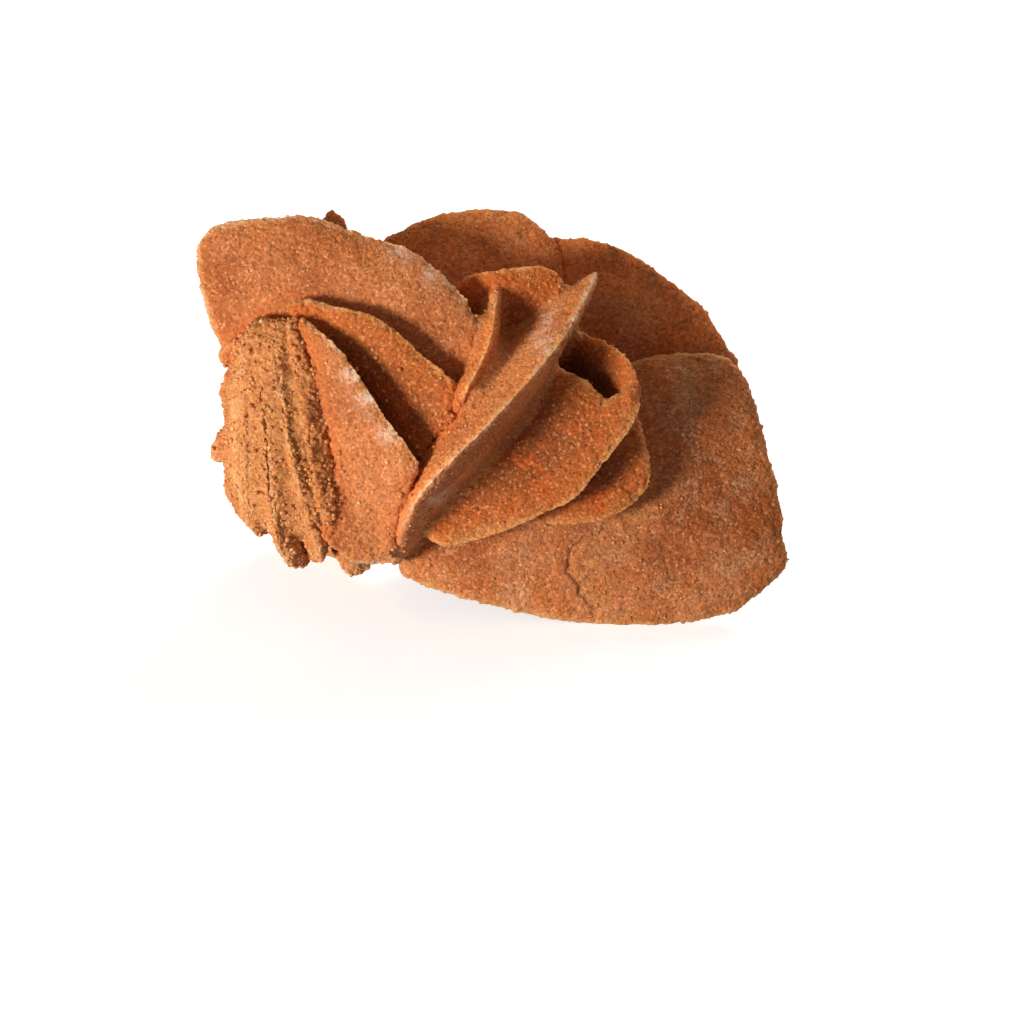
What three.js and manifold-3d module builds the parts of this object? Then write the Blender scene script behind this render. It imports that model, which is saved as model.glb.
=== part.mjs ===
// A gypsum sand rose: lens-shaped sandy crystals grown into one another, lying on the edge
// of its largest blade and on two blades at the back. Each crystal is its own solid.
//
// Crystals are placed in the rose's face frame, in millimetres: X to the right, Y away from the
// front and Z up the face. The whole rose then leans back and stands on its lowest edges.
import * as THREE from 'three';
import { mergeVertices } from 'three/addons/utils/BufferGeometryUtils.js';
import Module from 'manifold-3d';

const LEAN = THREE.MathUtils.degToRad(25); // how far the face leans back from upright
const GAP = 0.3; // clearance between two crystals where they grow into each other
const FOOT_WEAR = 0.25; // how much the edges it stands on are worn flat
const FLOOR_SIZE = 200; // side of the block that wears the feet flat
const BEVEL = 0.5; // how far a crystal's faces stop short of its rim, as a share of the rim's thickness

const SANDY = { color: 0xc0824f, roughness: 0.85, metalness: 0 };
const DUSKY = { color: 0x9c6038, roughness: 0.9, metalness: 0 };

// Each crystal is a lens: a closed rim, a hub inside it, its thickness at the hub and at the rim.
// fullness shapes the faces between the two: 2 is a lens, 1 is a wedge.
// The mesh has so many segments round the rim and rings between the hub and the rim.
// The first crystals are the strongest: a later one is cut back where it meets an earlier one.
const crystals = [
  {
    name: 'keel_blade', hub: [-2, -3, 20], thick: 7, edge: 1, fullness: 1.2,
    segments: 34, rings: 3,
    rim: [
      [10.2, -1, 35.4], [8.7, -5, 32.1], [6.8, -8.5, 28.6], [4, -11, 25], [0.8, -12.5, 21.4],
      [-2.7, -12.5, 17.8], [-6, -11.5, 14.6], [-8.5, -9, 11.2], [-9.6, -6, 8.5], [-10.2, -2.5, 6.2],
      [-8.5, 2, 10], [-3.5, 4, 18], [3, 4, 27], [8, 2, 33.5],
    ],
  },
  {
    name: 'great_blade', hub: [8, 0.5, 14], thick: 4, edge: 1.1, fullness: 2,
    segments: 44, rings: 3,
    rim: [
      [-9.5, 0.5, 5.2], [-5.5, 0.3, 3.6], [0.5, 0, 1.9], [6.5, 0, 0.6], [14.5, 0, 0], [20.5, 0, 0.6],
      [24, 0.2, 1.6], [28.8, 0.4, 5.3], [29.7, 0.5, 7], [29, 0.8, 8.7], [29, 1, 10.5],
      [28.2, 1.4, 14.5], [27, 1.8, 19.5], [25.7, 2.1, 24], [24, 2.3, 26.8], [20.5, 2.4, 27.6],
      [16.5, 2.4, 27.3], [11, 2.3, 25.5], [3, 2, 22], [-6, 1.5, 15], [-10, 1, 9],
    ],
  },
  {
    name: 'upper_back_blade', hub: [-3, 3, 33], thick: 3, edge: 1, fullness: 2,
    segments: 28, rings: 3,
    rim: [
      [-12, 2.6, 38.6], [-9.5, 2.8, 39.9], [-7.2, 3, 41.1], [-2, 3.2, 42.1], [1.2, 3.4, 42.1],
      [3.4, 3.5, 41.5], [5, 3.6, 40], [6.4, 3.8, 38.2], [6.5, 4, 34], [3, 4, 28], [-5, 3, 25],
      [-12, 2, 28], [-15, 2, 34],
    ],
  },
  {
    name: 'back_blade', hub: [10, 8.6, 23], thick: 4, edge: 1.1, fullness: 2,
    segments: 34, rings: 3,
    rim: [
      [3, 4.2, 38.8], [6, 4.2, 39.3], [9, 4.2, 39.3], [11.5, 4.2, 38.8], [14.7, 4.2, 37.2],
      [17.3, 4.2, 35.2], [20, 4.2, 33.2], [22.2, 4.2, 30.9], [23.2, 4.4, 28.8], [24.8, 4.8, 26.4],
      [25.6, 5.8, 23], [24.5, 7.6, 18], [21, 10, 12], [16, 12.4, 6.6], [11, 13.4, 5.6], [5, 12.6, 7],
      [-1, 10, 13], [-4, 7, 21], [-3, 5, 30], [-0.5, 4.4, 35.6],
    ],
  },
  {
    name: 'left_wing_blade', hub: [-14, -2.6, 31], thick: 3.4, edge: 1.2, fullness: 2,
    segments: 36, rings: 3,
    rim: [
      [-29.7, -1, 38.2], [-28.6, -1.4, 39.7], [-25.5, -1.9, 40.5], [-22.5, -2.2, 40.7],
      [-19, -2.8, 41], [-15.5, -3.4, 39.9], [-12.5, -3.8, 38.7], [-9.5, -4.2, 38], [-6.2, -4.8, 35.9],
      [-3.8, -5.2, 33.6], [-2.1, -5.4, 31.5], [-1.5, -5.4, 29], [-1.7, -5, 26], [-4, -4, 22],
      [-10, -2, 19.5], [-18, 0, 21], [-24, 0.5, 24], [-27.2, 0.2, 27.6], [-28.6, -0.2, 31],
      [-29.6, -0.6, 34.8],
    ],
  },
  {
    name: 'front_petal', hub: [4.5, -4.4, 16.5], thick: 2.6, edge: 1, fullness: 2,
    segments: 30, rings: 3,
    rim: [
      [-6.6, -4, 8.9], [-5.4, -4.4, 8], [-2.5, -5, 8.7], [0.5, -5.6, 9.5], [5, -6.4, 11.4],
      [7.6, -6.8, 12.6], [9.6, -7.2, 14.8], [11.7, -7.4, 17.6], [13.8, -7.4, 20.6], [14.4, -7, 22.8],
      [13.9, -6.6, 24.2], [11.6, -6, 22.4], [7.2, -5, 25.6], [3, -3, 25], [-2, -2.5, 19],
      [-6, -3, 12],
    ],
  },
  {
    name: 'hollow_petal', hub: [8.5, 0.8, 24], thick: 2.4, edge: 1, fullness: 2,
    segments: 22, rings: 2,
    rim: [
      [8, -1.4, 29.6], [9.6, -2.6, 28.9], [11.2, -3.8, 28.2], [12.7, -4.8, 27.2], [13.8, -5.5, 25.8],
      [14.3, -5.6, 24], [14.2, -5, 21.5], [12, -3, 18.5], [7, 0.6, 17], [4, 2, 22], [5, 1.2, 28],
    ],
  },
  {
    name: 'lower_petal', hub: [8, -2, 16.5], thick: 2.4, edge: 1, fullness: 2,
    segments: 26, rings: 2,
    rim: [
      [2, -2.6, 10.9], [4, -3, 10.4], [6.7, -3.4, 10.2], [9.6, -3.6, 10.5], [11.8, -3.8, 11],
      [13.5, -3.8, 12.1], [15, -3.8, 13.3], [15.4, -3.8, 14.8], [15.2, -3.6, 17], [14.7, -3.2, 19.5],
      [13, -2, 22.5], [7, 0, 23], [0, 0, 17],
    ],
  },
  {
    name: 'inner_spike', hub: [-1.5, -4, 26], thick: 2.6, edge: 0.9, fullness: 1.5,
    segments: 18, rings: 2,
    rim: [
      [0.3, -3, 34.2], [0.1, -5.5, 31.4], [-0.4, -7.6, 28.4], [-1.6, -9, 25.4], [-3.2, -9.4, 22.6],
      [-4, -6, 20], [-2.5, -1, 21], [-0.4, 0, 29],
    ],
  },
  {
    name: 'inner_upper_petal', hub: [1.5, -0.8, 31], thick: 2.2, edge: 0.9, fullness: 2,
    segments: 22, rings: 2,
    rim: [
      [-3, -2.6, 34.9], [-1, -3, 35.3], [1.5, -3.2, 35.6], [4.4, -3.2, 35.9], [5.9, -3, 35.5],
      [6.8, -2.6, 34.4], [6.5, -1, 31], [3, 1, 27], [-2.5, 1, 27.5], [-4.4, -1, 31.5],
    ],
  },
  {
    name: 'fan_base_blade', hub: [-18, -3, 18], thick: 6, edge: 1.6, fullness: 2.4,
    segments: 24, rings: 2,
    rim: [
      [-25.4, -0.8, 26.6], [-25.7, -0.8, 19], [-24.6, -1, 12.5], [-21.4, -1.4, 9.4], [-17, -1.6, 8.4],
      [-11, -1.2, 8], [-6, -1, 12], [-5, -1.4, 20], [-9, -1.8, 27.5], [-16, -2, 30.8], [-22.4, -1.6, 30.6],
    ],
  },
  {
    name: 'fan_blade_1', hub: [-10, -4.8, 24], thick: 3.4, edge: 1.1, fullness: 1.6,
    segments: 28, rings: 3,
    rim: [
      [-20.8, -4.6, 32.2], [-18.5, -5.4, 32.5], [-15.5, -6.2, 31.6], [-12.6, -6.8, 31], [-9.6, -7.2, 29.1],
      [-7, -7.5, 26.7], [-4.6, -7.8, 24.7], [-2.8, -8, 22.6], [-4, -7.6, 18], [-7.4, -5.8, 16.6],
      [-10.5, -3.6, 19.5], [-14, -2.6, 24.5], [-18.5, -3, 30],
    ],
  },
  {
    name: 'fan_blade_2', hub: [-13.8, -6.2, 16.5], thick: 3, edge: 1.1, fullness: 1.6,
    segments: 32, rings: 3,
    rim: [
      [-19, -6.4, 30.7], [-17.3, -7.6, 29.3], [-15.4, -8.4, 27.6], [-13.4, -9.2, 24.9],
      [-11.4, -9.8, 21.8], [-9.3, -10.2, 19], [-7.4, -10, 16.1], [-8.8, -8.4, 12.4], [-9.5, -6.6, 9.4],
      [-10, -5.4, 6.9], [-13, -5.4, 6.2], [-15.8, -6, 7.6], [-17.4, -6, 10.6], [-17.2, -4.6, 17],
      [-18, -4.4, 24], [-19.4, -5.2, 28.6],
    ],
  },
  {
    name: 'fan_blade_3', hub: [-17.6, -4, 18], thick: 5.4, edge: 1.6, fullness: 2,
    segments: 24, rings: 2,
    rim: [
      [-20, -6.2, 30.8], [-19.2, -7.6, 25], [-18.3, -8, 18.6], [-17.2, -7.8, 13], [-16.2, -6.8, 9.8],
      [-15.2, -4, 9], [-15.5, -1, 16], [-18, -1, 27],
    ],
  },
  {
    name: 'fan_blade_4', hub: [-19.4, -3.6, 17.5], thick: 4.4, edge: 1.4, fullness: 1.8,
    segments: 24, rings: 2,
    rim: [
      [-21.4, -5.6, 30.4], [-21.2, -7.4, 25.5], [-20.5, -8, 20], [-19.1, -8.2, 14], [-17.9, -7, 9.6],
      [-17, -4.8, 7.2], [-17.6, -2.4, 6.2], [-18, 0, 9], [-18.4, 1, 18], [-20, 0, 27.5],
    ],
  },
  {
    name: 'fan_blade_5', hub: [-21.2, -3, 17.5], thick: 4.6, edge: 1.6, fullness: 2,
    segments: 24, rings: 2,
    rim: [
      [-22.2, -4.8, 30.2], [-22.7, -6.8, 24.5], [-22.3, -7.4, 18], [-21.7, -7.2, 12], [-21.4, -5.6, 8.4],
      [-20.4, -3.4, 6.2], [-19.2, -1.4, 6], [-19, 1, 9], [-19.8, 2, 18], [-21.4, 1, 27],
    ],
  },
  {
    name: 'fan_blade_6', hub: [-23.6, -2.4, 18], thick: 6.4, edge: 2.4, fullness: 2.6,
    segments: 26, rings: 3,
    rim: [
      [-23.6, -4, 30.4], [-24.5, -5.8, 24], [-24.6, -6.4, 17.4], [-24.4, -5.8, 12], [-24, -3.8, 9.4],
      [-23, -1, 9], [-22.6, 1.4, 12], [-22.2, 2.2, 18], [-22.2, 1.4, 26],
    ],
  },
  {
    name: 'fan_blade_7', hub: [-24, -1, 17.5], thick: 3.6, edge: 1, fullness: 1.6,
    segments: 18, rings: 2,
    rim: [
      [-24.2, -3.8, 25], [-25.2, -4.4, 20.5], [-26, -3.6, 16], [-26.4, -1.6, 12.6], [-24, 1.8, 12.6],
      [-22, 3, 19], [-22.4, 1.4, 25],
    ],
  },
  {
    name: 'fan_blade_8', hub: [-25, -1, 18.8], thick: 2.8, edge: 0.9, fullness: 1.6,
    segments: 18, rings: 2,
    rim: [
      [-24, -3.8, 22.4], [-26.2, -3.4, 19.9], [-28, -1.8, 18], [-28.6, -0.6, 17],
      [-27, 1, 16.4], [-23.4, 2.4, 17.4], [-22, 1, 21.5],
    ],
  },
  {
    name: 'fan_blade_9', hub: [-24.2, -0.6, 24], thick: 3.2, edge: 1, fullness: 1.6,
    segments: 18, rings: 2,
    rim: [
      [-23.4, -3.6, 28.2], [-25.8, -3.4, 26.2], [-27.1, -2, 23.2], [-26.4, -0.6, 20.6],
      [-23.4, 2.2, 20.2], [-21.6, 2, 25], [-22.4, 0, 28.4],
    ],
  },
  {
    name: 'fan_blade_10', hub: [-24.4, -1, 27.6], thick: 2.4, edge: 0.8, fullness: 1.6,
    segments: 16, rings: 2,
    rim: [
      [-22.8, -3.6, 30.6], [-25.6, -2.8, 28.6], [-27.4, -1.4, 27.2], [-26.6, 0, 25.8], [-23.6, 1, 25],
      [-21.8, 0, 28],
    ],
  },
  {
    name: 'fan_tip_blade', hub: [-14, -2, 8], thick: 2, edge: 0.8, fullness: 1.6,
    segments: 16, rings: 2,
    rim: [
      [-15.8, -3, 6.8], [-14.8, -3, 5.6], [-13.8, -2.8, 5], [-12.8, -2.4, 5.6], [-11.6, -1, 8.5],
      [-13.6, 0.4, 11], [-15.8, 0, 9.5],
    ],
  },
  {
    name: 'rear_keel_blade', hub: [5, 12.5, 21.5], thick: 5, edge: 1.3, fullness: 1.6,
    segments: 26, rings: 2,
    rim: [
      [13, 5, 34], [11.5, 10, 32], [8.5, 14.5, 28.5], [5, 18, 22], [2, 19, 16], [0, 17.4, 11.4],
      [1, 12.5, 9.6], [4, 9.5, 18], [8, 7.5, 25], [11, 5.5, 31],
    ],
  },
  {
    name: 'rear_left_blade', hub: [-14, 7.4, 17], thick: 4.6, edge: 1.4, fullness: 1.8,
    segments: 28, rings: 3,
    rim: [
      [-6, 3, 8], [-12, 9, 6.2], [-17, 14.2, 6.7], [-20, 16.4, 7.4], [-22.4, 16.4, 10.2], [-23.2, 14, 15.4],
      [-21.4, 10, 22], [-16, 4.6, 28], [-9, 1.6, 30], [-5, 1, 20],
    ],
  },
  {
    name: 'rear_cross_blade', hub: [-3, 9.8, 20], thick: 3.4, edge: 1.2, fullness: 2,
    segments: 28, rings: 3,
    rim: [
      [-13, 8, 10], [-6, 12, 8], [3, 14.6, 9.6], [9.6, 14.4, 15], [11.6, 12, 23], [7.4, 8.6, 31],
      [-1, 7, 34.4], [-10, 6.4, 31], [-15, 6.6, 20],
    ],
  },
  {
    name: 'rear_upper_blade', hub: [-4, 7, 33], thick: 3, edge: 1.1, fullness: 2,
    segments: 24, rings: 2,
    rim: [
      [-14, 4.4, 36.6], [-9, 8.4, 38], [-2, 11, 37.4], [4, 9.8, 36], [7.4, 5.6, 34], [4, 3.4, 28],
      [-4, 3, 26], [-12, 3, 29],
    ],
  },
  {
    name: 'rear_tip_blade', hub: [-16.8, 4.4, 33], thick: 2.6, edge: 1.2, fullness: 2,
    segments: 22, rings: 2,
    rim: [
      [-17.8, 2.6, 40.6], [-17, 3, 41.6], [-16.2, 3.2, 42.1], [-15.4, 3, 41.8], [-15, 2.8, 40.4],
      [-13.6, 4, 35], [-13, 6.4, 28], [-16, 9, 23], [-20, 8, 26], [-20, 4.6, 34],
    ],
  },
  {
    name: 'rear_small_tip_blade', hub: [-13.6, 3, 36.6], thick: 1.6, edge: 0.8, fullness: 2,
    segments: 14, rings: 2,
    rim: [
      [-14.7, 2, 39.5], [-14, 2.2, 40], [-13.2, 2, 39.4], [-12, 2.8, 36], [-13.4, 4.4, 33],
      [-15.4, 3.6, 35.6],
    ],
  },
  {
    name: 'rear_left_upper_blade', hub: [-19, 5, 28], thick: 3, edge: 1.1, fullness: 2,
    segments: 22, rings: 2,
    rim: [
      [-25, 1.6, 34], [-23, 6, 35], [-18, 9.6, 32.6], [-14.6, 10, 27], [-15, 6, 21.6], [-20, 1.4, 21.6],
      [-24.4, 0, 27],
    ],
  },
];

// The rim's mean plane, as a unit normal that the rim runs round counterclockwise.
function rimNormal(points) {
  const normal = new THREE.Vector3();
  points.forEach((p, i) => normal.add(p.clone().cross(points[(i + 1) % points.length])));
  return normal.normalize();
}

// One crystal's closed surface. With swell it comes out that much larger all round, as a cutter.
function crystalGeometry({ hub, rim, thick, edge, fullness, segments, rings }, swell = 0) {
  const loop = new THREE.CatmullRomCurve3(rim.map((p) => new THREE.Vector3(...p)), true, 'centripetal');
  const outline = loop.getSpacedPoints(segments).slice(0, segments);
  const normal = rimNormal(outline);
  const centre = new THREE.Vector3(...hub);
  const middle = outline.reduce((sum, p) => sum.add(p), new THREE.Vector3()).divideScalar(segments);
  const bow = centre.clone().sub(middle).dot(normal);
  const flatHub = centre.clone().addScaledVector(normal, -bow);

  // A point on the mid sheet, a share of the way from the hub to the rim, less an inset.
  const onSheet = (i, share, inset) => {
    const out = outline[i].clone().sub(flatHub);
    const lift = out.dot(normal);
    out.addScaledVector(normal, -lift);
    const reach = out.length() + swell - inset;
    const offset = bow * (1 - share * share) + lift * share * share;
    return flatHub.clone().add(out.setLength(reach * share)).addScaledVector(normal, offset);
  };
  const halfThick = (share) => (edge + (thick - edge) * (1 - share ** fullness)) / 2 + swell;

  const positions = [];
  const push = (p) => positions.push(p.x, p.y, p.z) / 3 - 1;
  const faces = [];
  const rimRing = outline.map((_, i) => push(onSheet(i, 1, 0)));
  for (const side of [1, -1]) {
    const pole = push(flatHub.clone().addScaledVector(normal, bow + side * halfThick(0)));
    let inner = null;
    for (let ring = 1; ring <= rings; ring++) {
      const share = Math.sin((ring / rings) * Math.PI / 2);
      const raised = side * halfThick(share);
      const onFace = (i) => onSheet(i, share, edge * BEVEL).addScaledVector(normal, raised);
      const outer = outline.map((_, i) => push(onFace(i)));
      outer.forEach((a, i) => {
        const b = outer[(i + 1) % segments];
        if (!inner) faces.push(side > 0 ? [pole, a, b] : [pole, b, a]);
        else quad(faces, inner[i], a, b, inner[(i + 1) % segments], side);
      });
      inner = outer;
    }
    rimRing.forEach((a, i) => {
      const next = (i + 1) % segments;
      quad(faces, inner[i], a, rimRing[next], inner[next], side);
    });
  }
  const geometry = new THREE.BufferGeometry();
  geometry.setAttribute('position', new THREE.Float32BufferAttribute(positions, 3));
  geometry.setIndex(faces.flat());
  return geometry;
}

function quad(faces, a, b, c, d, side) {
  if (side > 0) faces.push([a, b, c], [a, c, d]);
  else faces.push([a, c, b], [a, d, c]);
}

const wasm = await Module();
wasm.setup();

// A closed three.js geometry as a manifold-3d solid.
function solidOf(geometry) {
  const bare = geometry.clone();
  bare.deleteAttribute('normal');
  bare.deleteAttribute('uv');
  const merged = mergeVertices(bare);
  return new wasm.Manifold(new wasm.Mesh({
    numProp: 3,
    vertProperties: new Float32Array(merged.attributes.position.array),
    triVerts: new Uint32Array(merged.index.array),
  }));
}

function geometryOf(solid) {
  const { vertProperties, triVerts } = solid.getMesh();
  const geometry = new THREE.BufferGeometry();
  geometry.setAttribute('position', new THREE.BufferAttribute(vertProperties, 3));
  geometry.setIndex(new THREE.BufferAttribute(triVerts, 1));
  geometry.computeVertexNormals();
  return geometry;
}

const largestPiece = (solid) => solid.decompose().sort((a, b) => b.volume() - a.volume())[0];

// The surface that the rose stands on, as a block in the face frame.
function floorBlock() {
  const block = new THREE.BoxGeometry(FLOOR_SIZE, FLOOR_SIZE, FLOOR_SIZE);
  block.translate(0, 0, FOOT_WEAR - FLOOR_SIZE / 2);
  return solidOf(block.rotateX(LEAN));
}

const floor = floorBlock();
const cutters = [];
const rose = new THREE.Group();
for (const crystal of crystals) {
  const whole = solidOf(crystalGeometry(crystal));
  const solid = largestPiece(wasm.Manifold.difference([whole, ...cutters, floor]));
  cutters.push(solidOf(crystalGeometry(crystal, GAP)));
  const look = crystal.name.startsWith('rear') ? DUSKY : SANDY;
  const mesh = new THREE.Mesh(geometryOf(solid), new THREE.MeshStandardMaterial(look));
  mesh.name = crystal.name;
  rose.add(mesh);
}
rose.rotation.x = -LEAN;

// The origin is under the middle of the rose, on the surface that it stands on.
const root = new THREE.Group();
root.add(rose);
const box = new THREE.Box3().setFromObject(root, true);
const middle = box.getCenter(new THREE.Vector3());
rose.position.set(-middle.x, -middle.y, -box.min.z);

export default root;
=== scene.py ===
import math

import bmesh
import bpy
import numpy as np
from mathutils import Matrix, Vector
from mathutils.bvhtree import BVHTree


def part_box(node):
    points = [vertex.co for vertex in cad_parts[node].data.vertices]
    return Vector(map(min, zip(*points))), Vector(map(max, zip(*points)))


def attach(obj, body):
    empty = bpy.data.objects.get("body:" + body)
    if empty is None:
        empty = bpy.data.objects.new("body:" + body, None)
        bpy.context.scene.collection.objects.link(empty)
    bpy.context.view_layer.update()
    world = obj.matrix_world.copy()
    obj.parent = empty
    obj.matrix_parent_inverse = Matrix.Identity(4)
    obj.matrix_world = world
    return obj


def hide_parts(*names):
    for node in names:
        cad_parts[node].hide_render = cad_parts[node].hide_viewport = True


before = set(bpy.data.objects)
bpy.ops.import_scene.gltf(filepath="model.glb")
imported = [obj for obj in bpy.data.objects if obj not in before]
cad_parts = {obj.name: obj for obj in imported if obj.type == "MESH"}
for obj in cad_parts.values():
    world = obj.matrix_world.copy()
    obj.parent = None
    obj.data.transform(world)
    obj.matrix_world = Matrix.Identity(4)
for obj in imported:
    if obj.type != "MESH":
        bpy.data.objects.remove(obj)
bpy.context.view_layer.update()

mm = 0.001

camera = {
    "elevation": 25,  # degrees above the floor
    "distance": 384 * mm,
    "lens": 135,  # focal length and sensor width in mm
    "sensor": 36,
    "aim": (1.81 * mm, -5.89 * mm, 10.17 * mm),
}


def makeCamera():
    data = bpy.data.cameras.new("roseCamera")
    data.lens = camera["lens"]
    data.sensor_width = camera["sensor"]
    data.clip_start = 0.01
    data.clip_end = 50
    thing = bpy.data.objects.new("roseCamera", data)
    bpy.context.collection.objects.link(thing)
    tilt = math.radians(camera["elevation"])
    outward = Vector((0, -math.cos(tilt), math.sin(tilt)))
    thing.location = Vector(camera["aim"]) + outward * camera["distance"]
    thing.rotation_euler = (math.pi / 2 - tilt, 0, 0)
    bpy.context.scene.camera = thing


# a low soft lamp at the front left, a weak one behind, and a dim even sky; powers are in watts
studio = {
    "sky": 0.28, "skyTint": (1, 0.90, 0.78, 1),
    "key": {
        "place": (-214 * mm, -196 * mm, 36 * mm), "size": 85 * mm, "power": 1.12, "tint": (1, 0.95, 0.87),
    },
    "back": {
        "place": (180 * mm, 260 * mm, 240 * mm), "size": 220 * mm, "power": 0.9, "tint": (1, 0.96, 0.90),
    },
    "lampAim": (0, 0, 18 * mm),
    "floorHalf": 4.0,  # metres
    "floorColour": (0.8, 0.8, 0.8, 1), "floorRoughness": 0.22, "floorGlow": 0.66,
}


def makeLamp(name, lamp):
    data = bpy.data.lights.new(name, "AREA")
    data.shape = "DISK"
    data.size = lamp["size"]
    data.energy = lamp["power"]
    data.color = lamp["tint"]
    thing = bpy.data.objects.new(name, data)
    bpy.context.collection.objects.link(thing)
    thing.location = lamp["place"]
    towardsRose = Vector(studio["lampAim"]) - Vector(lamp["place"])
    thing.rotation_euler = towardsRose.to_track_quat("-Z", "Y").to_euler()


def makeFloor():
    half = studio["floorHalf"]
    mesh = bpy.data.meshes.new("floor")
    corners = [(-half, -half, 0), (half, -half, 0), (half, half, 0), (-half, half, 0)]
    mesh.from_pydata(corners, [], [(0, 1, 2, 3)])
    floor = bpy.data.objects.new("floor", mesh)
    bpy.context.collection.objects.link(floor)
    floor.visible_diffuse = False  # it throws no light back, so the hollows stay deep
    paper = bpy.data.materials.new("floorPaper")
    paper.use_nodes = True
    shader = paper.node_tree.nodes["Principled BSDF"]
    shader.inputs["Base Color"].default_value = studio["floorColour"]
    shader.inputs["Roughness"].default_value = studio["floorRoughness"]
    shader.inputs["Specular IOR Level"].default_value = 0.5
    shader.inputs["Emission Color"].default_value = (1, 1, 1, 1)
    shader.inputs["Emission Strength"].default_value = studio["floorGlow"]
    mesh.materials.append(paper)


def makeStudio():
    world = bpy.data.worlds.new("studioSky")
    bpy.context.scene.world = world
    world.use_nodes = True
    world.node_tree.nodes["Background"].inputs["Color"].default_value = studio["skyTint"]
    world.node_tree.nodes["Background"].inputs["Strength"].default_value = studio["sky"]
    makeLamp("keyLamp", studio["key"])
    makeLamp("backLamp", studio["back"])
    makeFloor()
    bpy.context.scene.view_settings.view_transform = "Standard"
    bpy.context.scene.view_settings.look = "None"


makeCamera()
makeStudio()
print("camera, lamps and floor ready")


def addNode(tree, kind, inputs=None, **settings):
    node = tree.nodes.new(kind)
    for key, value in settings.items():
        setattr(node, key, value)
    for key, value in (inputs or {}).items():
        if isinstance(value, bpy.types.NodeSocket):
            tree.links.new(value, node.inputs[key])
        else:
            node.inputs[key].default_value = value
    return node


def fold(tree, operation, values):
    result = values[0]
    for value in values[1:]:
        result = addNode(tree, "ShaderNodeMath", {0: result, 1: value}, operation=operation).outputs[0]
    return result


def times(tree, *values):
    return fold(tree, "MULTIPLY", values)


def plus(tree, *values):
    return fold(tree, "ADD", values)


def minus(tree, a, b):
    return fold(tree, "SUBTRACT", (a, b))


def scaled(tree, vector, scale):
    inputs = {0: vector, "Scale": scale}
    return addNode(tree, "ShaderNodeVectorMath", inputs, operation="SCALE").outputs[0]


def ramp(tree, value, low, high, atLow=0.0, atHigh=1.0):
    # goes smoothly from atLow to atHigh as the value goes from low to high
    inputs = {"Value": value, "From Min": low, "From Max": high, "To Min": atLow, "To Max": atHigh}
    return addNode(tree, "ShaderNodeMapRange", inputs, interpolation_type="SMOOTHSTEP").outputs["Result"]


def mixColour(tree, share, a, b, blend="MIX"):
    # the three numbered sockets of a colour Mix are its factor and its two colours
    inputs = {0: share, 6: a, 7: b}
    return addNode(tree, "ShaderNodeMix", inputs, data_type="RGBA", blend_type=blend).outputs[2]


def grey(tree, value):
    return addNode(tree, "ShaderNodeCombineColor", {"Red": value, "Green": value, "Blue": value}).outputs[0]


def attributeOf(tree, name):
    return addNode(tree, "ShaderNodeAttribute", attribute_name=name).outputs["Fac"]


gypsum = {
    "rust": (0.35, 0.088, 0.021, 1), "sand": (0.56, 0.190, 0.062, 1), "tan": (0.60, 0.26, 0.105, 1),
    "amber": (0.54, 0.150, 0.028, 1), "golden": (0.62, 0.265, 0.085, 1), "brown": (0.17, 0.046, 0.012, 1),
    "dark": (0.12, 0.030, 0.010, 1), "ember": (0.58, 0.110, 0.014, 1), "sugar": (0.85, 0.48, 0.21, 1),
    "honey": (0.74, 0.30, 0.070, 1), "orange": (0.44, 0.086, 0.007, 1), "ash": (0.42, 0.235, 0.135, 1),
    "white": (0.90, 0.71, 0.56, 1),
    "roughness": 0.70, "glint": 0.34, "gloss": 0.22,  # glint: the roughness of the shiniest grains
    "depth": 0.32, "reach": 1.5 * mm, "glow": (1.0, 0.34, 0.12),  # how far light soaks in
    "grainsPerMm": 4.4, "jitter": 0.2, "speck": 0.22, "bumpHeight": 0.10 * mm, "bump": 0.8,
}
# amber: how orange the blade is. dusk: how dark its middle is, partly painted shade. ash: how much grey
# dust lies on it.
# light: how light it is as a whole.
finishes = {
    "sandyGypsum": {"amber": 0.08, "dusk": 0.0, "ash": 0.15, "light": 0.96},
    "keelGypsum": {"amber": 0.1, "dusk": 0.0, "ash": 0.25, "light": 1.2},
    "amberGypsum": {"amber": 0.95, "dusk": 0.85, "ash": 0.0, "light": 0.94},
    "goldenGypsum": {"amber": 0.0, "dusk": 0.0, "ash": 0.0, "light": 0.9},
    "broadGypsum": {"amber": 0.12, "dusk": 0.22, "ash": 0.6, "light": 1.06},
    # painted light: the dusty back blades are made lighter as a whole, to lift them out of the shade they
    # lie in
    "dustyPaintedLightGypsum": {"amber": 0.2, "dusk": 0.0, "ash": 0.4, "light": 1.4},
    # painted shade: a dark copy of the material for the rear tips, which lie in shade
    "paintedShadeGypsum": {"amber": 0.1, "dusk": 0.9, "ash": 0.3, "light": 0.95},
}


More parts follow.
